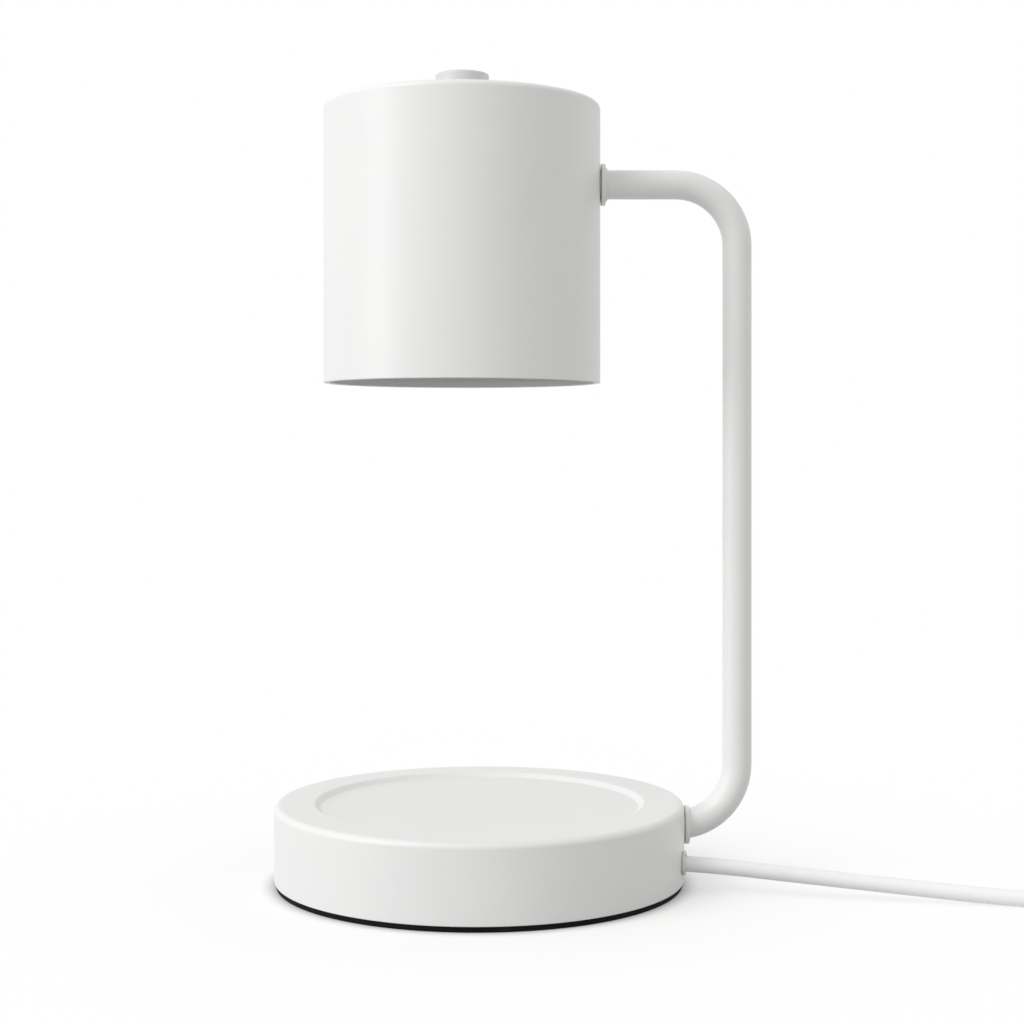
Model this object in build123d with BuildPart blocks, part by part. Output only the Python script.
"""Candle warmer lamp: a halogen spot lamp in a shade, held by a bent tube over a heavy dished base.

Millimetres. +Z is up, +X runs from the base's middle towards the arm, and the origin is the centre
of the foot pad's underside.
"""

from build123d import *
from math import cos, pi, radians, sin, sqrt, tan
import os

os.makedirs("parts", exist_ok=True)

# ---------------------------------------------------------------- driving dimensions
# base
base_diameter = 150.0
base_top = 29.4
base_wall = 1.8
base_edge_radius = 3.0
dish_border = 15.0  # from the base's side to the dish's mouth
dish_depth = 1.8
dish_round = 1.2  # on both edges of the dish's slope
dish_slope = 2.4  # how much smaller the dish's floor is than its mouth, on the radius
foot_thickness = 2.0
foot_inset = 1.2
plate_thickness = 1.2
plate_gap = 0.3  # bottom plate to shell wall, all round

# fits
slip_fit = 0.05  # radial, for a shaft or a cord in its hole
bolt_fit = 0.2  # radial, for a screw or a tube in a clearance hole
swivel_gap = 0.3  # between faces that turn on each other

# screws that hold the base together
screw_radius = 1.5
screw_head_radius = 2.7
screw_head_height = 1.0
post_radius = 3.6
post_inset = 9.0  # from the base's side to the posts' axes
post_count = 4
post_angle = 45.0
screw_grip = 8.0

# ballast
ballast_inset = 19.0  # from the base's side to the ballast's edge
ballast_thickness = 13.0
ballast_chamfer = 1.0
ballast_slot_width = 52.0
ballast_slot_room = 7.0  # from the arm's wires to the slot's end
ballast_screw_spacing = 60.0

# arm
tube_diameter = 10.6
tube_wall = 1.0
arm_offset = 19.2  # from the base's side to the upright tube's axis
arm_below_base_top = 8.9
arm_below_shade_top = 28.9
arm_bend_radius = 22.4
arm_inner_reach = 13.0  # how far the tube goes on inside the base's side
arm_collar_width = 1.65  # of each ring round the tube
arm_collar_thickness = 2.0
arm_collar_edge = 0.5
arm_nut_width = 1.7
arm_nut_thickness = 5.0
arm_washer_width = 1.2
arm_washer_thickness = 1.0
cable_diameter = 4.4

# shade
shade_x = -6.4
shade_diameter = 101.0
shade_rim_z = 182.0
shade_height = 101.5
shade_wall = 1.2
shade_edge_radius = 2.0
hem_roll = 0.8  # how much the turned-in rim adds to the wall
hem_height = 2.6

# swivel
swivel_collar_width = 3.85  # round the stud
swivel_collar_thickness = 2.6
swivel_collar_edge = 1.1
stud_radius = 4.0
stud_wall = 1.4
stud_socket_depth = 12.0
saddle_thickness = 2.4
spring_thickness = 0.8
swivel_nut_width = 2.5
swivel_nut_thickness = 4.0
stud_end_proud = 1.4

# dimmer and its knob
dimmer_size = 24.0
dimmer_round = 2.0
dimmer_height = 14.0
bushing_radius = 3.5
shaft_radius = 3.0
shaft_flat = 0.9
dimmer_nut_width = 1.5
dimmer_nut_thickness = 2.2
dimmer_washer_thickness = 0.6
dimmer_washer_width = 2.5
dimmer_floor = 2.0  # case under the shaft's lower end
bushing_proud = 0.8
knob_diameter = 19.6
knob_height = 10.7
knob_gap = 0.8
knob_edge = 0.9
knob_crown = 1.6  # solid thickness over the shaft's end
nut_room = 0.7  # clear space over the nut inside the knob

# lamp, a 50 mm reflector lamp with two bayonet pins
lamp_diameter = 50.0
lamp_front_thickness = 2.2
lamp_rim_height = 3.4
reflector_depth = 32.0
reflector_neck_radius = 9.0
reflector_wall = 1.2
lamp_cap_wall = 3.6  # round the reflector's neck
lamp_cap_height = 17.0
lamp_cap_overlap = 3.0
pin_spacing = 10.0
pin_radius = 1.5
pin_head_radius = 2.4
pin_length = 6.0
pin_head_height = 2.6
lamp_cap_chamfer = 1.6
front_glass_edge = 0.6
bowl_curve_radius = 30.0
neck_length = 7.0
capsule_socket = 4.0
capsule_radius = 4.6
capsule_length = 22.0

# lamp holder, bracket and heat shield
holder_radius = 14.5
holder_height = 17.0
holder_flat_inset = 2.0  # how far each flat is cut into the holder's round
holder_counterbore = 9.0
screw_proud = 1.5
holder_gap = 0.3  # lamp cap to holder
shield_radius = 30.0
shield_thickness = 0.8
shield_lip = 3.0
bracket_thickness = 1.0
bracket_width = 14.0
bracket_room = 1.0  # dimmer's side to the bracket's leg
bracket_drop = 8.8  # dimmer's underside to the bracket's foot
bracket_bend = 1.6
holder_screw_spacing = 18.0

# wiring inside
wire_diameter = 2.2
wire_bend = 4.0
wire_small_bend = 1.5
wire_spread = 1.2  # middle line to each of a pair of wires
wire_tail = 2.0
wire_start_gap = 0.2  # a stripped wire starts this far from its cable's cut end
wire_slot_gap = 1.25  # from the two wires to the slot's ends
lamp_lead_gap = 7.5  # from the holder's round to the lamp's wires
lamp_lead_spread = 3.0
head_lead_gap = 7.0  # from the stud's end to where its wires turn up
arm_lead_gap = 6.0
terminal_length = 18.0
terminal_width = 20.0
terminal_height = 14.0
terminal_round = 1.5
terminal_gap = 11.0  # from the stripped cord's end to the block
terminal_shift = 2.0  # towards the front
terminal_pitch = 10.0
terminal_screw_radius = 1.8
terminal_screw_height = 5.0
wire_insert = 4.0  # how far a wire goes into its terminal

# mains cord
cord_diameter = 5.6
cord_azimuth = -12.0  # degrees, from +X towards the front
cord_exit_z = 9.9
cord_inner_reach = 29.0  # how far the cord goes on inside the base's side
grommet_wall = 1.1  # in the base's hole
grommet_flange = 1.0
grommet_flange_width = 0.5
snap_flange = 1.2
snap_flange_width = 0.7
sleeve_length = 20.0
sleeve_end_wall = 0.6
clamp_length = 8.0
clamp_width = 22.0
clamp_screw_offset = 7.6
clamp_bar_thickness = 4.2
clamp_corner = 1.5
clamp_split = 0.6  # gap that lets the bar press the cord

# coil that holds the rest of the cord, and the plug on its end
coil_distance = 166.5  # from the base's side to where the cord meets the coil
coil_turn_radius = 30.8  # middle of the turns
coil_lanes = 4
coil_layers = 2
coil_edge = 2.6
tail_overlap = 5.0
tail_spare = 0.4  # clear of the coil's side
cord_straight = 5.0  # level run outside the base
cord_flat_run = 21.4  # level run before the coil
climb_share = 0.25  # of a turn, before the top layer starts
lead_shift = 1.0
plug_edge = 1.6
plug_round = 5.0
plug_neck_round = 6.0
relief_small_wall = 0.6
relief_large_wall = 2.4
coil_exit_angle = 0.0
plug_relief_length = 20.0
plug_body_length = 30.0
plug_body_width = 34.0
plug_tail_width = 20.0
plug_thickness = 13.7
plug_pin_length = 19.0
plug_pin_radius = 2.0
plug_pin_spacing = 18.6
plug_lead_length = 24.0

# ---------------------------------------------------------------- sizes that follow
base_radius = base_diameter / 2
dish_radius = base_radius - dish_border
dish_floor_radius = dish_radius - dish_slope
dish_z = base_top - dish_depth
shell_bottom = foot_thickness
plate_top = shell_bottom + plate_thickness
under_dish = dish_z - base_wall
inner_radius = base_radius - base_wall

inner_edge_radius = max(base_edge_radius - base_wall, 0.3)
post_circle_radius = base_radius - post_inset
ballast_radius = base_radius - ballast_inset
ballast_screw_places = [(-ballast_radius / 2, side * ballast_screw_spacing / 2) for side in (1, -1)]

tube_radius = tube_diameter / 2
tube_bore = tube_radius - tube_wall
arm_x = base_radius + arm_offset
arm_low_z = base_top - arm_below_base_top
arm_collar_radius = tube_radius + arm_collar_width
arm_washer_radius = tube_radius + arm_washer_width
arm_nut_size = tube_diameter + 2 * arm_nut_width  # across flats

shade_radius = shade_diameter / 2
shade_top = shade_rim_z + shade_height
arm_high_z = shade_top - arm_below_shade_top
shade_roof = shade_top - shade_wall
shade_inner = shade_radius - shade_wall
shade_side_x = shade_x + shade_radius
shade_inner_x = shade_x + shade_inner
roof_round = max(shade_edge_radius - shade_wall, 0.3)
hem_round = 0.45 * (shade_wall + hem_roll)
hem_step = 0.45 * hem_roll
shade_plane = Plane(origin=(shade_x, 0, 0), x_dir=(1, 0, 0), z_dir=(0, -1, 0))
shade_axis = Axis((shade_x, 0, 0), (0, 0, 1))
swivel_face_x = shade_side_x + swivel_collar_thickness
tube_end_x = swivel_face_x + swivel_gap
saddle_radius = stud_radius + swivel_collar_width
collar_sag = shade_radius - sqrt(shade_radius**2 - saddle_radius**2)
saddle_face_x = shade_inner_x - saddle_thickness
spring_face_x = saddle_face_x - swivel_gap
nut_face_x = spring_face_x - spring_thickness
stud_end_x = nut_face_x - swivel_nut_thickness - stud_end_proud

bracket_top = shade_roof
dimmer_nut_size = 2 * (bushing_radius + dimmer_nut_width)  # across flats
swivel_nut_size = 2 * (stud_radius + swivel_nut_width)  # across flats
dimmer_top = bracket_top - bracket_thickness
dimmer_bottom = dimmer_top - dimmer_height
washer_bottom = shade_top
nut_bottom = washer_bottom + dimmer_washer_thickness
nut_top = nut_bottom + dimmer_nut_thickness
bushing_top = nut_top + bushing_proud
knob_bottom = shade_top + knob_gap
knob_top = knob_bottom + knob_height
shaft_top = knob_top - knob_crown
knob_room_top = bushing_top + nut_room
knob_room_radius = dimmer_nut_size / sqrt(3) + nut_room

bracket_span = dimmer_size + 2 * (bracket_room + bracket_thickness)
holder_screw_places = [(0, holder_screw_spacing / 2), (0, -holder_screw_spacing / 2)]
head_lead_x = stud_end_x - head_lead_gap
dimmer_lead_z = dimmer_bottom + dimmer_height / 3

lamp_radius = lamp_diameter / 2
bowl_radius = lamp_radius - reflector_wall
# everything from the bracket's foot down hangs from the shade's roof
bracket_foot = dimmer_bottom - bracket_drop
shield_top = bracket_foot - bracket_thickness
holder_top = shield_top - shield_thickness
holder_bottom = holder_top - holder_height
cap_top = holder_bottom - holder_gap
cap_bottom = cap_top - lamp_cap_height
neck_z = cap_bottom + lamp_cap_overlap
neck_start_z = neck_z - neck_length
lamp_rim_top = neck_z - reflector_depth
lamp_face = lamp_rim_top - lamp_rim_height
lamp_cap_radius = reflector_neck_radius + lamp_cap_wall
holder_flat = holder_radius - holder_flat_inset
holder_lead_z = (holder_bottom + holder_top) / 2
wire_slot_length = 2 * (lamp_lead_spread + wire_slot_gap) + wire_diameter
wire_slot_width = 2 * wire_diameter
lamp_lead_x = shade_x - holder_radius - lamp_lead_gap

cord_radius = cord_diameter / 2
cord_dir = Vector(cos(radians(cord_azimuth)), sin(radians(cord_azimuth)), 0)
cord_side = Vector(-cord_dir.Y, cord_dir.X, 0)
cord_hole_radius = cord_radius + bolt_fit
grommet_hole_radius = cord_radius + grommet_wall
grommet_radius = grommet_hole_radius + grommet_flange_width
snap_radius = grommet_hole_radius + snap_flange_width
cord_start = base_radius - cord_inner_reach
cord_plane = Plane(origin=(0, 0, cord_exit_z), x_dir=cord_dir, z_dir=-cord_side)
snap_x = sqrt(inner_radius**2 - snap_radius**2) - slip_fit
clamp_top = cord_exit_z + clamp_split / 2 + clamp_bar_thickness
wire_radius = wire_diameter / 2
wire_z = cord_exit_z
terminal_y = -terminal_shift
terminal_right = cord_start - terminal_gap
terminal_left = terminal_right - terminal_length
terminal_x = (terminal_left + terminal_right) / 2
arm_lead_x = terminal_left - arm_lead_gap
ballast_slot_start = arm_lead_x - ballast_slot_room


def out_along_cord(distance, height=cord_exit_z, sideways=0.0):
    """A point at a distance from the base's axis, in the cord's direction."""
    return cord_dir * distance + cord_side * sideways + Vector(0, 0, height)


def corner_radii(points):
    """The largest arc each corner of a loose cord's route has room for."""
    radii = []
    for before, here, after in zip(points, points[1:], points[2:]):
        arrive = Vector(*here) - Vector(*before)
        leave = Vector(*after) - Vector(*here)
        turn = radians(arrive.get_angle(leave))
        radii.append(0.45 * min(arrive.length, leave.length) / tan(turn / 2))
    return radii


def hexagon_radius(across_flats):
    """A nut's corner radius from its spanner size."""
    return across_flats / sqrt(3)


def wire(points, radius, bend):
    """A round wire along straight runs joined by arcs of one radius."""
    start = Vector(*points[0])
    with BuildPart() as piece:
        with BuildLine() as route:
            FilletPolyline(*points, radius=bend)
        with BuildSketch(Plane(origin=start, z_dir=Vector(*points[1]) - start)):
            Circle(radius)
        sweep(path=route.wire())
    return piece.part


clamp_middle = out_along_cord(cord_start + clamp_length / 2, plate_top)
clamp_plane = Plane(origin=clamp_middle, x_dir=cord_dir, z_dir=(0, 0, 1))
clamp_screw_points = [clamp_middle + cord_side * side * clamp_screw_offset for side in (-1, 1)]
clamp_screw_places = [(point.X, point.Y) for point in clamp_screw_points]

# ---------------------------------------------------------------- arm
arm_inner_x = inner_radius - arm_inner_reach
arm_start = Plane(origin=(arm_inner_x, 0, arm_low_z), z_dir=(1, 0, 0))

with BuildLine(Plane.XZ) as arm_path:
    FilletPolyline(
        (arm_inner_x, arm_low_z),
        (arm_x, arm_low_z),
        (arm_x, arm_high_z),
        (tube_end_x, arm_high_z),
        radius=arm_bend_radius,
    )

with BuildPart() as arm_tube:
    with BuildSketch(arm_start):
        Circle(tube_radius)
        Circle(tube_bore, mode=Mode.SUBTRACT)
    sweep(path=arm_path.wire())
arm_tube.part.label = "arm_tube"
export_step(arm_tube.part, "parts/arm_tube.step")

# the room that the bent tube takes in what it passes through
with BuildPart() as arm_passage:
    with BuildSketch(arm_start):
        Circle(tube_radius + slip_fit)
    sweep(path=arm_path.wire())

# ---------------------------------------------------------------- base
with BuildPart() as base_shell:
    with BuildSketch(Plane.XZ):
        with BuildLine():
            FilletPolyline(
                (0, dish_z),
                (dish_floor_radius, dish_z),
                (dish_radius, base_top),
                (base_radius, base_top),
                (base_radius, shell_bottom),
                (inner_radius, shell_bottom),
                (inner_radius, base_top - base_wall),
                (dish_radius + base_wall / 2, base_top - base_wall),
                (dish_floor_radius + base_wall / 2, under_dish),
                (0, under_dish),
                radius=[dish_round, dish_round, base_edge_radius, 0, 0, inner_edge_radius, 0, 0],
            )
            Line((0, under_dish), (0, dish_z))
        make_face()
    revolve(axis=Axis.Z)
    with BuildSketch(Plane.XY.offset(plate_top)):
        with PolarLocations(post_circle_radius, post_count, start_angle=post_angle):
            Circle(post_radius)
    extrude(amount=base_top - base_wall / 2 - plate_top)
    with BuildSketch(Plane.XY.offset(plate_top)):
        with PolarLocations(post_circle_radius, post_count, start_angle=post_angle):
            Circle(screw_radius + slip_fit)
    extrude(amount=screw_grip + slip_fit, mode=Mode.SUBTRACT)
    add(arm_passage.part, mode=Mode.SUBTRACT)
    with BuildSketch(Plane(origin=out_along_cord(base_radius / 2), z_dir=cord_dir)):
        Circle(grommet_hole_radius)
    extrude(amount=base_radius, mode=Mode.SUBTRACT)
base_shell.part.label = "base_shell"
export_step(base_shell.part, "parts/base_shell.step")

with BuildPart() as bottom_plate:
    with BuildSketch(Plane.XY.offset(shell_bottom)):
        Circle(inner_radius - plate_gap)
        with PolarLocations(post_circle_radius, post_count, start_angle=post_angle):
            Circle(screw_radius + bolt_fit, mode=Mode.SUBTRACT)
        with Locations(*ballast_screw_places, *clamp_screw_places):
            Circle(screw_radius + bolt_fit, mode=Mode.SUBTRACT)
    extrude(amount=plate_thickness)
bottom_plate.part.label = "bottom_plate"
export_step(bottom_plate.part, "parts/bottom_plate.step")

with BuildPart() as foot_pad:
    with BuildSketch(Plane.XY):
        Circle(base_radius - foot_inset)
        with PolarLocations(post_circle_radius, post_count, start_angle=post_angle):
            Circle(screw_head_radius + bolt_fit, mode=Mode.SUBTRACT)
        with Locations(*ballast_screw_places):
            Circle(screw_head_radius + bolt_fit, mode=Mode.SUBTRACT)
    extrude(amount=foot_thickness)
foot_pad.part.label = "foot_pad"
export_step(foot_pad.part, "parts/foot_pad.step")

with BuildPart() as plate_screws:
    with BuildSketch(Plane.XY.offset(shell_bottom - screw_head_height)):
        with PolarLocations(post_circle_radius, post_count, start_angle=post_angle):
            Circle(screw_head_radius)
    extrude(amount=screw_head_height)
    with BuildSketch(Plane.XY.offset(shell_bottom)):
        with PolarLocations(post_circle_radius, post_count, start_angle=post_angle):
            Circle(screw_radius)
    extrude(amount=plate_thickness + screw_grip)
plate_screws.part.label = "plate_screws"
export_step(plate_screws.part, "parts/plate_screws.step")

with BuildPart() as ballast_weight:
    with BuildSketch(Plane.XY.offset(plate_top)):
        Circle(ballast_radius)
        with Locations((ballast_slot_start, 0)):
            Rectangle(
                2 * ballast_radius,  # out past the ballast's edge
                ballast_slot_width,
                align=(Align.MIN, Align.CENTER),
                mode=Mode.SUBTRACT,
            )
    extrude(amount=ballast_thickness)
    chamfer(ballast_weight.faces().sort_by(Axis.Z)[-1].edges(), ballast_chamfer)
    with BuildSketch(Plane.XY.offset(plate_top)):
        with Locations(*ballast_screw_places):
            Circle(screw_radius + slip_fit)
    extrude(amount=screw_grip + slip_fit, mode=Mode.SUBTRACT)
ballast_weight.part.label = "ballast_weight"
export_step(ballast_weight.part, "parts/ballast_weight.step")

with BuildPart() as ballast_screws:
    with BuildSketch(Plane.XY.offset(shell_bottom - screw_head_height)):
        with Locations(*ballast_screw_places):
            Circle(screw_head_radius)
    extrude(amount=screw_head_height)
    with BuildSketch(Plane.XY.offset(shell_bottom)):
        with Locations(*ballast_screw_places):
            Circle(screw_radius)
    extrude(amount=plate_thickness + screw_grip)
ballast_screws.part.label = "ballast_screws"
export_step(ballast_screws.part, "parts/ballast_screws.step")

# ---------------------------------------------------------------- arm fittings at the base
with BuildPart() as arm_collar:
    with BuildSketch(Plane(origin=(base_radius + arm_collar_thickness, 0, arm_low_z), z_dir=(-1, 0, 0))):
        Circle(arm_collar_radius)
    extrude(amount=arm_collar_thickness + base_wall / 2)
    fillet(arm_collar.faces().sort_by(Axis.X)[-1].edges(), arm_collar_edge)
    with BuildSketch(Plane.XY.offset(shell_bottom)):
        Circle(base_radius)
    extrude(amount=base_top, mode=Mode.SUBTRACT)
    add(arm_passage.part, mode=Mode.SUBTRACT)
arm_collar.part.label = "arm_collar"
export_step(arm_collar.part, "parts/arm_collar.step")

arm_washer_x = sqrt(inner_radius**2 - arm_washer_radius**2) - slip_fit
with BuildPart() as arm_washer:
    with BuildSketch(Plane(origin=(arm_washer_x, 0, arm_low_z), z_dir=(-1, 0, 0))):
        Circle(arm_washer_radius)
        Circle(tube_radius + bolt_fit, mode=Mode.SUBTRACT)
    extrude(amount=arm_washer_thickness)
arm_washer.part.label = "arm_washer"
export_step(arm_washer.part, "parts/arm_washer.step")

with BuildPart() as arm_nut:
    with BuildSketch(
        Plane(origin=(arm_washer_x - arm_washer_thickness, 0, arm_low_z), z_dir=(-1, 0, 0))
    ):
        RegularPolygon(hexagon_radius(arm_nut_size), 6, rotation=30)  # flats level with the base's top
        Circle(tube_radius + slip_fit, mode=Mode.SUBTRACT)
    extrude(amount=arm_nut_thickness)
arm_nut.part.label = "arm_nut"
export_step(arm_nut.part, "parts/arm_nut.step")

with BuildLine(Plane.XZ) as cable_path:
    FilletPolyline(
        (arm_inner_x - wire_tail, arm_low_z),
        (arm_x, arm_low_z),
        (arm_x, arm_high_z),
        (stud_end_x, arm_high_z),
        radius=arm_bend_radius,
    )

with BuildPart() as arm_cable:
    with BuildSketch(Plane(origin=(arm_inner_x - wire_tail, 0, arm_low_z), z_dir=(1, 0, 0))):
        Circle(cable_diameter / 2)
    sweep(path=cable_path.wire())
arm_cable.part.label = "arm_cable"
export_step(arm_cable.part, "parts/arm_cable.step")

# ---------------------------------------------------------------- mains inlet and anchorage
with BuildPart() as cord_grommet:
    with BuildSketch(cord_plane):
        with BuildLine():
            Polyline(
                (base_radius + grommet_flange - sleeve_length, cord_hole_radius),
                (base_radius + grommet_flange - sleeve_length, cord_radius + sleeve_end_wall),
                (snap_x - snap_flange, grommet_hole_radius),
                (snap_x - snap_flange, snap_radius),
                (snap_x, snap_radius),
                (snap_x, grommet_hole_radius - slip_fit),
                (inner_radius + base_wall / 2, grommet_hole_radius - slip_fit),
                (inner_radius + base_wall / 2, grommet_radius),
                (base_radius + grommet_flange, grommet_radius),
                (base_radius + grommet_flange, cord_hole_radius),
                close=True,
            )
        make_face()
    revolve(axis=Axis((0, 0, cord_exit_z), cord_dir))
    fillet(cord_grommet.edges().group_by(Axis((0, 0, 0), cord_dir))[-1], grommet_flange * 0.35)
    add(base_shell.part, mode=Mode.SUBTRACT)
cord_grommet.part.label = "cord_grommet"
export_step(cord_grommet.part, "parts/cord_grommet.step")

with BuildPart() as clamp_base:
    with BuildSketch(clamp_plane):
        Rectangle(clamp_length, clamp_width)
        with Locations((0, clamp_screw_offset), (0, -clamp_screw_offset)):
            Circle(screw_radius + slip_fit, mode=Mode.SUBTRACT)
    extrude(amount=cord_exit_z - clamp_split / 2 - plate_top)
    with BuildSketch(Plane(origin=out_along_cord(cord_start), z_dir=cord_dir)):
        Circle(cord_hole_radius)
    extrude(amount=clamp_length, mode=Mode.SUBTRACT)
clamp_base.part.label = "clamp_base"
export_step(clamp_base.part, "parts/clamp_base.step")

with BuildPart() as clamp_bar:
    with BuildSketch(clamp_plane.offset(cord_exit_z + clamp_split / 2 - plate_top)):
        Rectangle(clamp_length, clamp_width)
        with Locations((0, clamp_screw_offset), (0, -clamp_screw_offset)):
            Circle(screw_radius + bolt_fit, mode=Mode.SUBTRACT)
    extrude(amount=clamp_bar_thickness)
    fillet(clamp_bar.edges().filter_by(Axis.Z).group_by(SortBy.LENGTH)[-1], clamp_corner)
    with BuildSketch(Plane(origin=out_along_cord(cord_start), z_dir=cord_dir)):
        Circle(cord_hole_radius)
    extrude(amount=clamp_length, mode=Mode.SUBTRACT)
clamp_bar.part.label = "clamp_bar"
export_step(clamp_bar.part, "parts/clamp_bar.step")

with BuildPart() as clamp_screws:
    with BuildSketch(clamp_plane):
        with Locations((0, clamp_screw_offset), (0, -clamp_screw_offset)):
            Circle(screw_radius)
    extrude(amount=clamp_top - plate_top)
    with BuildSketch(clamp_plane.offset(clamp_top - plate_top)):
        with Locations((0, clamp_screw_offset), (0, -clamp_screw_offset)):
            Circle(screw_head_radius)
    extrude(amount=screw_head_height)
clamp_screws.part.label = "clamp_screws"
export_step(clamp_screws.part, "parts/clamp_screws.step")


# ---------------------------------------------------------------- joint of the cord and the lamp's wires
with BuildPart() as terminal_block:
    with BuildSketch(Plane.XY.offset(plate_top)):
        with Locations((terminal_x, terminal_y)):
            RectangleRounded(terminal_length, terminal_width, terminal_round)
    extrude(amount=terminal_height)
    with BuildSketch(Plane.XY.offset(plate_top + terminal_height)):
        with Locations((terminal_x, terminal_y)):
            with GridLocations(terminal_length / 2, terminal_pitch, 2, 2):
                Circle(terminal_screw_radius + slip_fit)
    extrude(amount=-terminal_screw_height - wire_radius, mode=Mode.SUBTRACT)
    with BuildSketch(Plane(origin=(terminal_left, terminal_y, wire_z), z_dir=(1, 0, 0))):
        with Locations((0, terminal_pitch / 2), (0, -terminal_pitch / 2)):
            Circle(wire_radius + bolt_fit)
    extrude(amount=terminal_length, mode=Mode.SUBTRACT)
terminal_block.part.label = "terminal_block"
export_step(terminal_block.part, "parts/terminal_block.step")

with BuildPart() as terminal_screws:
    with BuildSketch(Plane.XY.offset(plate_top + terminal_height - terminal_screw_height)):
        with Locations((terminal_x, terminal_y)):
            with GridLocations(terminal_length / 2, terminal_pitch, 2, 2):
                Circle(terminal_screw_radius)
    extrude(amount=terminal_screw_height - wire_radius)
terminal_screws.part.label = "terminal_screws"
export_step(terminal_screws.part, "parts/terminal_screws.step")

mains_wires = [
    wire(
        [
            out_along_cord(cord_start - wire_start_gap, wire_z, side * wire_spread),
            out_along_cord(cord_start - wire_tail, wire_z, side * wire_spread),
            (terminal_right + wire_tail, terminal_y + side * terminal_pitch / 2, wire_z),
            (terminal_right - wire_insert, terminal_y + side * terminal_pitch / 2, wire_z),
        ],
        wire_radius,
        wire_small_bend,
    )
    for side in (-1, 1)
]
with BuildPart() as mains_leads:
    add(mains_wires)
mains_leads.part.label = "mains_leads"
export_step(mains_leads.part, "parts/mains_leads.step")

arm_wires = [
    wire(
        [
            (arm_inner_x - wire_tail - wire_start_gap, side * wire_spread, arm_low_z),
            (arm_lead_x, terminal_y + side * terminal_pitch / 2, arm_low_z + wire_radius),
            (arm_lead_x, terminal_y + side * terminal_pitch / 2, wire_z),
            (terminal_left + wire_insert, terminal_y + side * terminal_pitch / 2, wire_z),
        ],
        wire_radius,
        wire_bend,
    )
    for side in (-1, 1)
]
with BuildPart() as arm_leads:
    add(arm_wires)
arm_leads.part.label = "arm_leads"
export_step(arm_leads.part, "parts/arm_leads.step")

# ---------------------------------------------------------------- swivel between arm and shade
with BuildPart() as swivel_stud:
    with BuildSketch(Plane(origin=(stud_end_x, 0, arm_high_z), z_dir=(1, 0, 0))):
        Circle(stud_radius)
    extrude(amount=tube_end_x - stud_end_x)
    with BuildSketch(Plane(origin=(tube_end_x, 0, arm_high_z), z_dir=(1, 0, 0))):
        Circle(tube_bore - slip_fit)
    extrude(amount=stud_socket_depth)
    with BuildSketch(Plane(origin=(stud_end_x, 0, arm_high_z), z_dir=(1, 0, 0))):
        Circle(stud_radius - stud_wall)
    extrude(amount=tube_end_x - stud_end_x + stud_socket_depth, mode=Mode.SUBTRACT)
swivel_stud.part.label = "swivel_stud"
export_step(swivel_stud.part, "parts/swivel_stud.step")

with BuildPart() as swivel_collar:
    with BuildSketch(Plane(origin=(swivel_face_x, 0, arm_high_z), z_dir=(-1, 0, 0))):
        Circle(saddle_radius)
        Circle(stud_radius + slip_fit, mode=Mode.SUBTRACT)
    extrude(amount=swivel_collar_thickness + collar_sag)
    outer_rim = swivel_collar.faces().sort_by(Axis.X)[-1].edges().sort_by(SortBy.RADIUS)[-1]
    fillet(outer_rim, swivel_collar_edge)
    with BuildSketch(Plane.XY.offset(shade_rim_z)):
        with Locations((shade_x, 0)):
            Circle(shade_radius)
    extrude(amount=shade_height, mode=Mode.SUBTRACT)
swivel_collar.part.label = "swivel_collar"
export_step(swivel_collar.part, "parts/swivel_collar.step")

with BuildPart() as swivel_saddle:
    with BuildSketch(Plane(origin=(saddle_face_x, 0, arm_high_z), z_dir=(1, 0, 0))):
        Circle(saddle_radius)
        Circle(stud_radius + slip_fit, mode=Mode.SUBTRACT)
    extrude(amount=saddle_thickness)
    with BuildSketch(Plane.XY.offset(shade_rim_z)):
        with Locations((shade_x, 0)):
            Circle(shade_inner)
    extrude(amount=shade_height, mode=Mode.INTERSECT)
swivel_saddle.part.label = "swivel_saddle"
export_step(swivel_saddle.part, "parts/swivel_saddle.step")

with BuildPart() as swivel_spring:
    with BuildSketch(Plane(origin=(spring_face_x, 0, arm_high_z), z_dir=(-1, 0, 0))):
        Circle(saddle_radius - slip_fit)
        Circle(stud_radius + slip_fit, mode=Mode.SUBTRACT)
    extrude(amount=spring_thickness)
swivel_spring.part.label = "swivel_spring"
export_step(swivel_spring.part, "parts/swivel_spring.step")

with BuildPart() as swivel_nut:
    with BuildSketch(Plane(origin=(nut_face_x, 0, arm_high_z), z_dir=(-1, 0, 0))):
        RegularPolygon(hexagon_radius(swivel_nut_size), 6)
        Circle(stud_radius + slip_fit, mode=Mode.SUBTRACT)
    extrude(amount=swivel_nut_thickness)
swivel_nut.part.label = "swivel_nut"
export_step(swivel_nut.part, "parts/swivel_nut.step")

# ---------------------------------------------------------------- shade
with BuildPart() as shade_shell:
    with BuildSketch(shade_plane):
        with BuildLine():
            FilletPolyline(
                (0, shade_roof),
                (shade_inner, shade_roof),
                (shade_inner, shade_rim_z + hem_height),
                (shade_inner - hem_roll, shade_rim_z + hem_height),
                (shade_inner - hem_roll, shade_rim_z),
                (shade_radius, shade_rim_z),
                (shade_radius, shade_top),
                (0, shade_top),
                radius=[roof_round, hem_step, hem_step, hem_round, hem_round, shade_edge_radius],
            )
            Line((0, shade_top), (0, shade_roof))
        make_face()
    revolve(axis=shade_axis)
    with BuildSketch(Plane(origin=(shade_x, 0, shade_roof))):
        Circle(bushing_radius + bolt_fit)
    extrude(amount=shade_wall, mode=Mode.SUBTRACT)
    with BuildSketch(Plane(origin=(shade_x, 0, arm_high_z), z_dir=(1, 0, 0))):
        Circle(stud_radius + bolt_fit)
    extrude(amount=shade_radius, mode=Mode.SUBTRACT)
shade_shell.part.label = "shade_shell"
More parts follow.
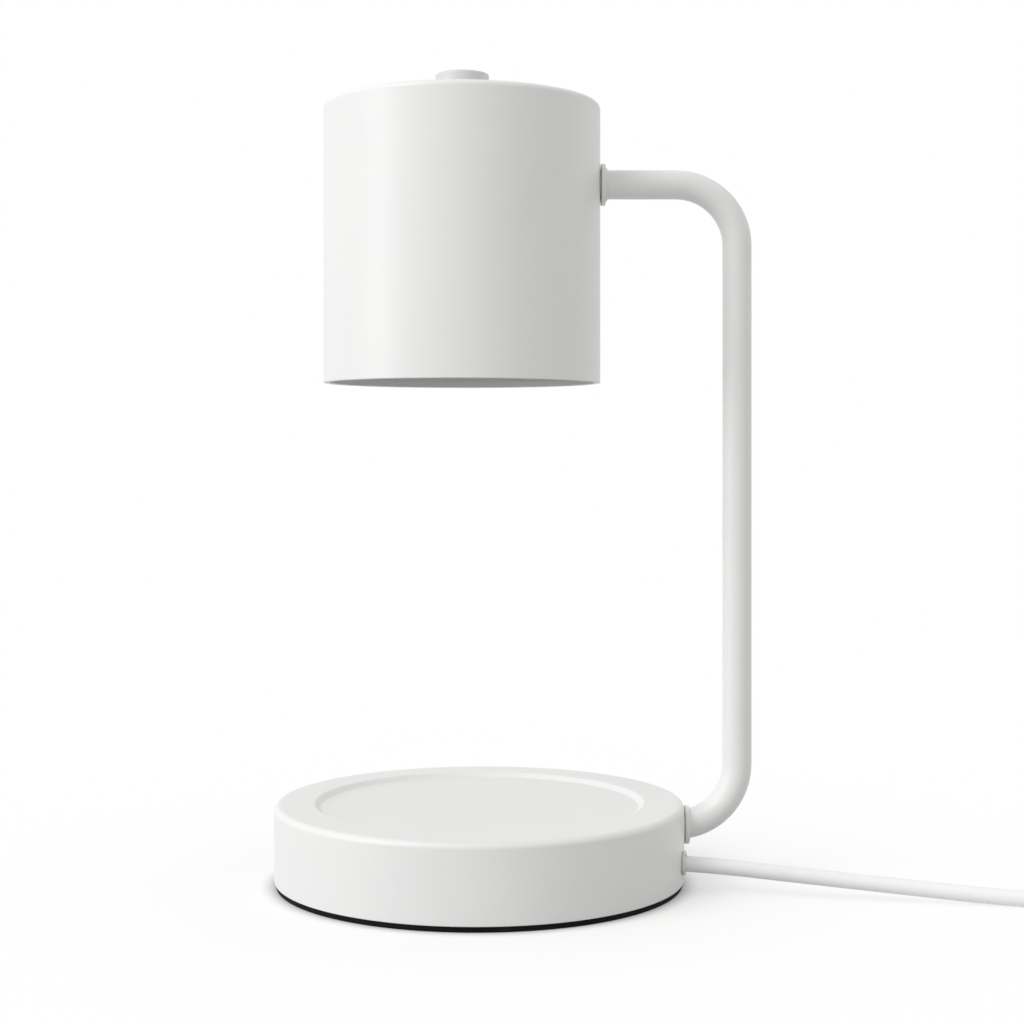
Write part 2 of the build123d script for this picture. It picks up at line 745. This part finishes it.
export_step(shade_shell.part, "parts/shade_shell.step")

# ---------------------------------------------------------------- dimmer and knob
with BuildPart() as dimmer_body:
    with BuildSketch(Plane(origin=(shade_x, 0, dimmer_bottom))):
        RectangleRounded(dimmer_size, dimmer_size, dimmer_round)
    extrude(amount=dimmer_height)
    with BuildSketch(Plane(origin=(shade_x, 0, dimmer_top))):
        Circle(bushing_radius)
    extrude(amount=bushing_top - dimmer_top)
    with BuildSketch(Plane(origin=(shade_x, 0, dimmer_bottom + dimmer_floor))):
        Circle(shaft_radius + slip_fit)
    extrude(amount=bushing_top - dimmer_bottom, mode=Mode.SUBTRACT)
dimmer_body.part.label = "dimmer_body"
export_step(dimmer_body.part, "parts/dimmer_body.step")

with BuildPart() as dimmer_washer:
    with BuildSketch(Plane(origin=(shade_x, 0, washer_bottom))):
        Circle(bushing_radius + dimmer_washer_width)
        Circle(bushing_radius + bolt_fit, mode=Mode.SUBTRACT)
    extrude(amount=dimmer_washer_thickness)
dimmer_washer.part.label = "dimmer_washer"
export_step(dimmer_washer.part, "parts/dimmer_washer.step")

with BuildPart() as dimmer_nut:
    with BuildSketch(Plane(origin=(shade_x, 0, nut_bottom))):
        RegularPolygon(hexagon_radius(dimmer_nut_size), 6)
        Circle(bushing_radius + slip_fit, mode=Mode.SUBTRACT)
    extrude(amount=dimmer_nut_thickness)
dimmer_nut.part.label = "dimmer_nut"
export_step(dimmer_nut.part, "parts/dimmer_nut.step")

with BuildPart() as dimmer_shaft:
    with BuildSketch(Plane(origin=(shade_x, 0, dimmer_bottom + dimmer_floor + slip_fit))):
        Circle(shaft_radius)
    extrude(amount=shaft_top - dimmer_bottom - dimmer_floor - slip_fit)
    with BuildSketch(Plane(origin=(shade_x + shaft_radius - shaft_flat, 0, knob_room_top))):
        Rectangle(shaft_flat, 2 * shaft_radius, align=(Align.MIN, Align.CENTER))
    extrude(amount=shaft_top - knob_room_top, mode=Mode.SUBTRACT)
dimmer_shaft.part.label = "dimmer_shaft"
export_step(dimmer_shaft.part, "parts/dimmer_shaft.step")

with BuildPart() as dimmer_knob:
    with BuildSketch(Plane(origin=(shade_x, 0, knob_bottom))):
        Circle(knob_diameter / 2)
    extrude(amount=knob_height)
    fillet(dimmer_knob.faces().sort_by(Axis.Z)[-1].edges(), knob_edge)
    with BuildSketch(Plane(origin=(shade_x, 0, knob_bottom))):
        Circle(knob_room_radius)
    extrude(amount=knob_room_top - knob_bottom, mode=Mode.SUBTRACT)
    with BuildSketch(Plane(origin=(shade_x, 0, knob_room_top))):
        Circle(shaft_radius)
        with Locations((shaft_radius - shaft_flat, 0)):
            Rectangle(shaft_flat, 2 * shaft_radius, align=(Align.MIN, Align.CENTER), mode=Mode.SUBTRACT)
    extrude(amount=shaft_top - knob_room_top, mode=Mode.SUBTRACT)
dimmer_knob.part.label = "dimmer_knob"
export_step(dimmer_knob.part, "parts/dimmer_knob.step")

# ---------------------------------------------------------------- bracket, heat shield and lamp holder
with BuildPart() as lamp_bracket:
    with BuildSketch(Plane(origin=(shade_x - bracket_width / 2, 0, 0), x_dir=(0, 1, 0), z_dir=(1, 0, 0))):
        with Locations((0, (bracket_top + shield_top) / 2)):
            Rectangle(bracket_span, bracket_top - shield_top)
            Rectangle(
                bracket_span - 2 * bracket_thickness,
                bracket_top - shield_top - 2 * bracket_thickness,
                mode=Mode.SUBTRACT,
            )
    extrude(amount=bracket_width)
    corners = lamp_bracket.edges().filter_by(Axis.X)
    fillet(corners.group_by(lambda e: round(abs(e.center().Y), 3))[-1], bracket_bend)
    with BuildSketch(Plane(origin=(shade_x, 0, dimmer_top))):
        Circle(bushing_radius + bolt_fit)
    extrude(amount=bracket_thickness, mode=Mode.SUBTRACT)
    with BuildSketch(Plane(origin=(shade_x, 0, shield_top))):
        with Locations(*holder_screw_places):
            Circle(screw_radius + slip_fit)
    extrude(amount=bracket_thickness, mode=Mode.SUBTRACT)
lamp_bracket.part.label = "lamp_bracket"
export_step(lamp_bracket.part, "parts/lamp_bracket.step")

with BuildPart() as heat_shield:
    with BuildSketch(shade_plane):
        with BuildLine():
            Polyline(
                (0, shield_top),
                (shield_radius, shield_top),
                (shield_radius, shield_top - shield_lip),
                (shield_radius - shield_thickness, shield_top - shield_lip),
                (shield_radius - shield_thickness, holder_top),
                (0, holder_top),
                close=True,
            )
        make_face()
    revolve(axis=shade_axis)
    with BuildSketch(Plane(origin=(shade_x, 0, holder_top))):
        with Locations(*holder_screw_places):
            Circle(screw_radius + bolt_fit)
        with Locations((lamp_lead_x - shade_x, 0)):
            SlotOverall(wire_slot_length, wire_slot_width, rotation=90)
    extrude(amount=shield_thickness, mode=Mode.SUBTRACT)
heat_shield.part.label = "heat_shield"
export_step(heat_shield.part, "parts/heat_shield.step")

with BuildPart() as lamp_holder:
    with BuildSketch(Plane(origin=(shade_x, 0, holder_bottom))):
        Circle(holder_radius)
        Rectangle(2 * holder_flat, 2 * holder_radius, mode=Mode.INTERSECT)
    extrude(amount=holder_height)
    with BuildSketch(Plane(origin=(shade_x, 0, holder_bottom))):
        with Locations((pin_spacing / 2, 0), (-pin_spacing / 2, 0)):
            Circle(pin_head_radius + bolt_fit)
    extrude(amount=pin_length + bolt_fit, mode=Mode.SUBTRACT)
    with BuildSketch(Plane(origin=(shade_x, 0, holder_bottom))):
        with Locations(*holder_screw_places):
            Circle(screw_head_radius + bolt_fit)
    extrude(amount=holder_counterbore, mode=Mode.SUBTRACT)
    with BuildSketch(Plane(origin=(shade_x, 0, holder_bottom))):
        with Locations(*holder_screw_places):
            Circle(screw_radius + bolt_fit)
    extrude(amount=holder_height, mode=Mode.SUBTRACT)
lamp_holder.part.label = "lamp_holder"
export_step(lamp_holder.part, "parts/lamp_holder.step")

with BuildPart() as holder_screws:
    with BuildSketch(Plane(origin=(shade_x, 0, holder_bottom + holder_counterbore - screw_head_height))):
        with Locations(*holder_screw_places):
            Circle(screw_head_radius)
    extrude(amount=screw_head_height)
    with BuildSketch(Plane(origin=(shade_x, 0, holder_bottom + holder_counterbore))):
        with Locations(*holder_screw_places):
            Circle(screw_radius)
    extrude(amount=bracket_foot + screw_proud - holder_bottom - holder_counterbore)
holder_screws.part.label = "holder_screws"
export_step(holder_screws.part, "parts/holder_screws.step")

head_wires = [
    wire(
        [
            (stud_end_x - swivel_gap, side * wire_spread, arm_high_z),
            (head_lead_x, side * wire_spread, arm_high_z),
            (head_lead_x, side * dimmer_size / 8, dimmer_lead_z),
            (shade_x + dimmer_size / 2, side * dimmer_size / 8, dimmer_lead_z),
        ],
        wire_radius,
        wire_bend,
    )
    for side in (-1, 1)
]
with BuildPart() as head_leads:
    add(head_wires)
head_leads.part.label = "head_leads"
export_step(head_leads.part, "parts/head_leads.step")

lamp_wires = [
    wire(
        [
            (shade_x - dimmer_size / 2, side * lamp_lead_spread, dimmer_lead_z),
            (lamp_lead_x, side * lamp_lead_spread, dimmer_lead_z),
            (lamp_lead_x, side * lamp_lead_spread, holder_lead_z),
            (shade_x - holder_flat, side * lamp_lead_spread, holder_lead_z),
        ],
        wire_radius,
        wire_bend,
    )
    for side in (-1, 1)
]
with BuildPart() as lamp_leads:
    add(lamp_wires)
lamp_leads.part.label = "lamp_leads"
export_step(lamp_leads.part, "parts/lamp_leads.step")

# ---------------------------------------------------------------- lamp
with BuildPart() as lamp_reflector:
    with BuildSketch(shade_plane):
        with BuildLine():
            Polyline(
                (lamp_radius - reflector_wall, lamp_face),
                (lamp_radius, lamp_face),
                (lamp_radius, lamp_rim_top),
                (bowl_radius, lamp_rim_top),
            )
            RadiusArc((bowl_radius, lamp_rim_top), (reflector_neck_radius, neck_start_z), bowl_curve_radius)
            Polyline(
                (reflector_neck_radius, neck_start_z),
                (reflector_neck_radius, neck_z),
                (reflector_neck_radius - reflector_wall, neck_z),
                (reflector_neck_radius - reflector_wall, neck_start_z),
            )
            RadiusArc(
                (reflector_neck_radius - reflector_wall, neck_start_z),
                (bowl_radius - reflector_wall, lamp_rim_top),
                -bowl_curve_radius,
            )
            Polyline(
                (bowl_radius - reflector_wall, lamp_rim_top),
                (bowl_radius - reflector_wall, lamp_face + lamp_front_thickness),
                (lamp_radius - reflector_wall, lamp_face + lamp_front_thickness),
                (lamp_radius - reflector_wall, lamp_face),
            )
        make_face()
    revolve(axis=shade_axis)
lamp_reflector.part.label = "lamp_reflector"
export_step(lamp_reflector.part, "parts/lamp_reflector.step")

with BuildPart() as lamp_front_glass:
    with BuildSketch(Plane(origin=(shade_x, 0, lamp_face))):
        Circle(lamp_radius - reflector_wall - slip_fit)
    extrude(amount=lamp_front_thickness)
    fillet(lamp_front_glass.faces().sort_by(Axis.Z)[0].edges(), front_glass_edge)
lamp_front_glass.part.label = "lamp_front_glass"
export_step(lamp_front_glass.part, "parts/lamp_front_glass.step")

with BuildPart() as lamp_cap:
    with BuildSketch(Plane(origin=(shade_x, 0, cap_bottom))):
        Circle(lamp_cap_radius)
    extrude(amount=lamp_cap_height)
    chamfer(lamp_cap.faces().sort_by(Axis.Z)[-1].edges(), lamp_cap_chamfer)
    with BuildSketch(Plane(origin=(shade_x, 0, cap_bottom))):
        Circle(reflector_neck_radius + slip_fit)
    extrude(amount=lamp_cap_overlap, mode=Mode.SUBTRACT)
    with BuildSketch(Plane(origin=(shade_x, 0, neck_z))):
        Circle(capsule_radius + slip_fit)
    extrude(amount=capsule_socket, mode=Mode.SUBTRACT)
lamp_cap.part.label = "lamp_cap"
export_step(lamp_cap.part, "parts/lamp_cap.step")

with BuildPart() as lamp_pins:
    with BuildSketch(Plane(origin=(shade_x, 0, cap_top))):
        with Locations((pin_spacing / 2, 0), (-pin_spacing / 2, 0)):
            Circle(pin_radius)
    extrude(amount=pin_length - pin_head_height)
    with BuildSketch(Plane(origin=(shade_x, 0, cap_top + pin_length - pin_head_height))):
        with Locations((pin_spacing / 2, 0), (-pin_spacing / 2, 0)):
            Circle(pin_head_radius)
    extrude(amount=pin_head_height)
lamp_pins.part.label = "lamp_pins"
export_step(lamp_pins.part, "parts/lamp_pins.step")

with BuildPart() as lamp_capsule:
    with BuildSketch(Plane(origin=(shade_x, 0, neck_z + capsule_socket))):
        Circle(capsule_radius)
    extrude(amount=-capsule_length)
    fillet(lamp_capsule.faces().sort_by(Axis.Z)[0].edges(), capsule_radius * 0.7)
lamp_capsule.part.label = "lamp_capsule"
export_step(lamp_capsule.part, "parts/lamp_capsule.step")

# ---------------------------------------------------------------- mains cord
outer_turn = coil_turn_radius + (coil_lanes - 1) / 2 * cord_diameter
coil_height = coil_layers * cord_diameter
# a straight tail this long stands clear of the coil's side
coil_tail = 2 * sqrt(outer_turn * cord_radius) + tail_spare

# the cord meets the coil's outer turn along its own direction
coil_entry = out_along_cord(base_radius + coil_distance, cord_radius)
coil_center = out_along_cord(base_radius + coil_distance, 0, outer_turn)
coil_entry_tail = coil_entry - cord_dir * coil_tail

# outside the base the cord sinks to the table in a loose curve, a little to one side
cord_run_out = coil_distance - coil_tail - cord_flat_run
cord_drop = cord_exit_z - cord_radius
cord_sway = 0.23 * cord_diameter
cord_route = [
    out_along_cord(cord_start),
    out_along_cord(base_radius + cord_straight),
    out_along_cord(base_radius + cord_run_out * 0.32, cord_radius + cord_drop * 0.63, cord_sway * 0.6),
    out_along_cord(base_radius + cord_run_out * 0.59, cord_radius + cord_drop * 0.32, cord_sway),
    out_along_cord(base_radius + cord_run_out * 0.82, cord_radius + cord_drop * 0.07, cord_sway * 0.6),
    coil_entry_tail - cord_dir * cord_flat_run,
    coil_entry_tail,
]
cord_radii = corner_radii(cord_route)

with BuildPart() as power_cord:
    with BuildLine() as cord_line:
        FilletPolyline(*cord_route, radius=cord_radii)
    with BuildSketch(Plane(origin=cord_route[0], z_dir=cord_dir)):
        Circle(cord_radius)
    sweep(path=cord_line.wire())
power_cord.part.label = "power_cord"
export_step(power_cord.part, "parts/power_cord.step")

exit_out = Vector(cos(radians(coil_exit_angle)), sin(radians(coil_exit_angle)), 0)
exit_dir = Vector(-exit_out.Y, exit_out.X, 0)
coil_exit = coil_center + exit_out * outer_turn + Vector(0, 0, coil_height - cord_radius)
coil_exit_tail = coil_exit + exit_dir * coil_tail

with BuildPart() as cord_coil:
    with BuildSketch(Plane(origin=coil_center, x_dir=(1, 0, 0), z_dir=(0, -1, 0))):
        with Locations((coil_turn_radius, coil_height / 2)):
            RectangleRounded(coil_lanes * cord_diameter, coil_height, coil_edge)
    revolve(axis=Axis(coil_center, (0, 0, 1)))
    with BuildSketch(Plane(origin=coil_entry_tail, z_dir=cord_dir)):
        Circle(cord_radius)
    extrude(amount=coil_tail - tail_overlap)
    with BuildSketch(Plane(origin=coil_exit_tail, z_dir=-exit_dir)):
        Circle(cord_radius)
    extrude(amount=coil_tail - tail_overlap)
cord_coil.part.label = "cord_coil"
export_step(cord_coil.part, "parts/cord_coil.step")

plug_z = plug_thickness / 2
lead_step = plug_lead_length / 3
lead_drop = coil_exit_tail.Z - plug_z
lead_route = [
    coil_exit_tail,
    coil_exit_tail + exit_dir * lead_step,
    coil_exit_tail + exit_dir * 2 * lead_step + exit_out * lead_shift - Vector(0, 0, lead_drop),
    coil_exit_tail + exit_dir * 3 * lead_step + exit_out * lead_shift - Vector(0, 0, lead_drop),
]
lead_radii = corner_radii(lead_route)

with BuildPart() as plug_lead:
    with BuildLine() as lead_line:
        FilletPolyline(*lead_route, radius=lead_radii)
    with BuildSketch(Plane(origin=lead_route[0], z_dir=exit_dir)):
        Circle(cord_radius)
    sweep(path=lead_line.wire())
plug_lead.part.label = "plug_lead"
export_step(plug_lead.part, "parts/plug_lead.step")

# ---------------------------------------------------------------- plug, its long side along the cord's end
plug_tail = lead_route[-1]
plug_plane = Plane(origin=(plug_tail.X, plug_tail.Y, 0), x_dir=exit_dir, z_dir=(0, 0, 1))
relief_plane = Plane(origin=plug_tail, x_dir=exit_dir, z_dir=exit_dir.cross(Vector(0, 0, 1)))

with BuildPart() as plug_relief:
    with BuildSketch(relief_plane):
        with BuildLine():
            Polyline(
                (0, 0),
                (0, cord_radius + relief_small_wall),
                (plug_relief_length, cord_radius + relief_large_wall),
                (plug_relief_length, 0),
                close=True,
            )
        make_face()
    revolve(axis=Axis(plug_tail, exit_dir))
plug_relief.part.label = "plug_relief"
export_step(plug_relief.part, "parts/plug_relief.step")

with BuildPart() as plug_body:
    with BuildSketch(plug_plane):
        with BuildLine():
            FilletPolyline(
                (plug_relief_length, plug_tail_width / 2),
                (plug_relief_length + plug_body_length * 0.55, plug_body_width / 2),
                (plug_relief_length + plug_body_length, plug_body_width / 2),
                (plug_relief_length + plug_body_length, -plug_body_width / 2),
                (plug_relief_length + plug_body_length * 0.55, -plug_body_width / 2),
                (plug_relief_length, -plug_tail_width / 2),
                radius=[plug_neck_round, plug_round, plug_round, plug_neck_round],
            )
            Line(
                (plug_relief_length, -plug_tail_width / 2),
                (plug_relief_length, plug_tail_width / 2),
            )
        make_face()
    extrude(amount=plug_thickness)
    fillet(plug_body.edges().filter_by(Axis.Z, reverse=True), plug_edge)
plug_body.part.label = "plug_body"
export_step(plug_body.part, "parts/plug_body.step")

with BuildPart() as plug_pins:
    with BuildSketch(
        Plane(origin=plug_tail + exit_dir * (plug_relief_length + plug_body_length), z_dir=exit_dir)
    ):
        with GridLocations(0, plug_pin_spacing, 1, 2):
            Circle(plug_pin_radius)
    extrude(amount=plug_pin_length)
    fillet(plug_pins.edges().group_by(Axis((0, 0, 0), exit_dir))[-1], 0.6 * plug_pin_radius)
plug_pins.part.label = "plug_pins"
export_step(plug_pins.part, "parts/plug_pins.step")

# the turns go inwards on the table and outwards on top of that layer; the top layer starts and ends
# part of a turn short, so that it climbs and leaves without crossing itself
inner_turn = 2 * coil_turn_radius - outer_turn
exit_share = (coil_exit_angle - cord_azimuth + 90) % 360 / 360
lane_sum = coil_lanes * coil_turn_radius
short_of_lanes = climb_share * inner_turn + (1 - climb_share - exit_share) * outer_turn
coil_length = 2 * pi * (coil_layers * lane_sum - short_of_lanes)
cord_run = cord_line.wire().length
tube_ratio = power_cord.part.volume / (pi * cord_radius**2 * cord_run)
total = cord_run + lead_line.wire().length + coil_length + 2 * coil_tail - cord_inner_reach
print("cord corner radii", [round(r) for r in cord_radii + lead_radii], "mm")
print("cord tube volume over section x length", round(tube_ratio, 6))
print("cord length from the base's side", round(total), "mm")
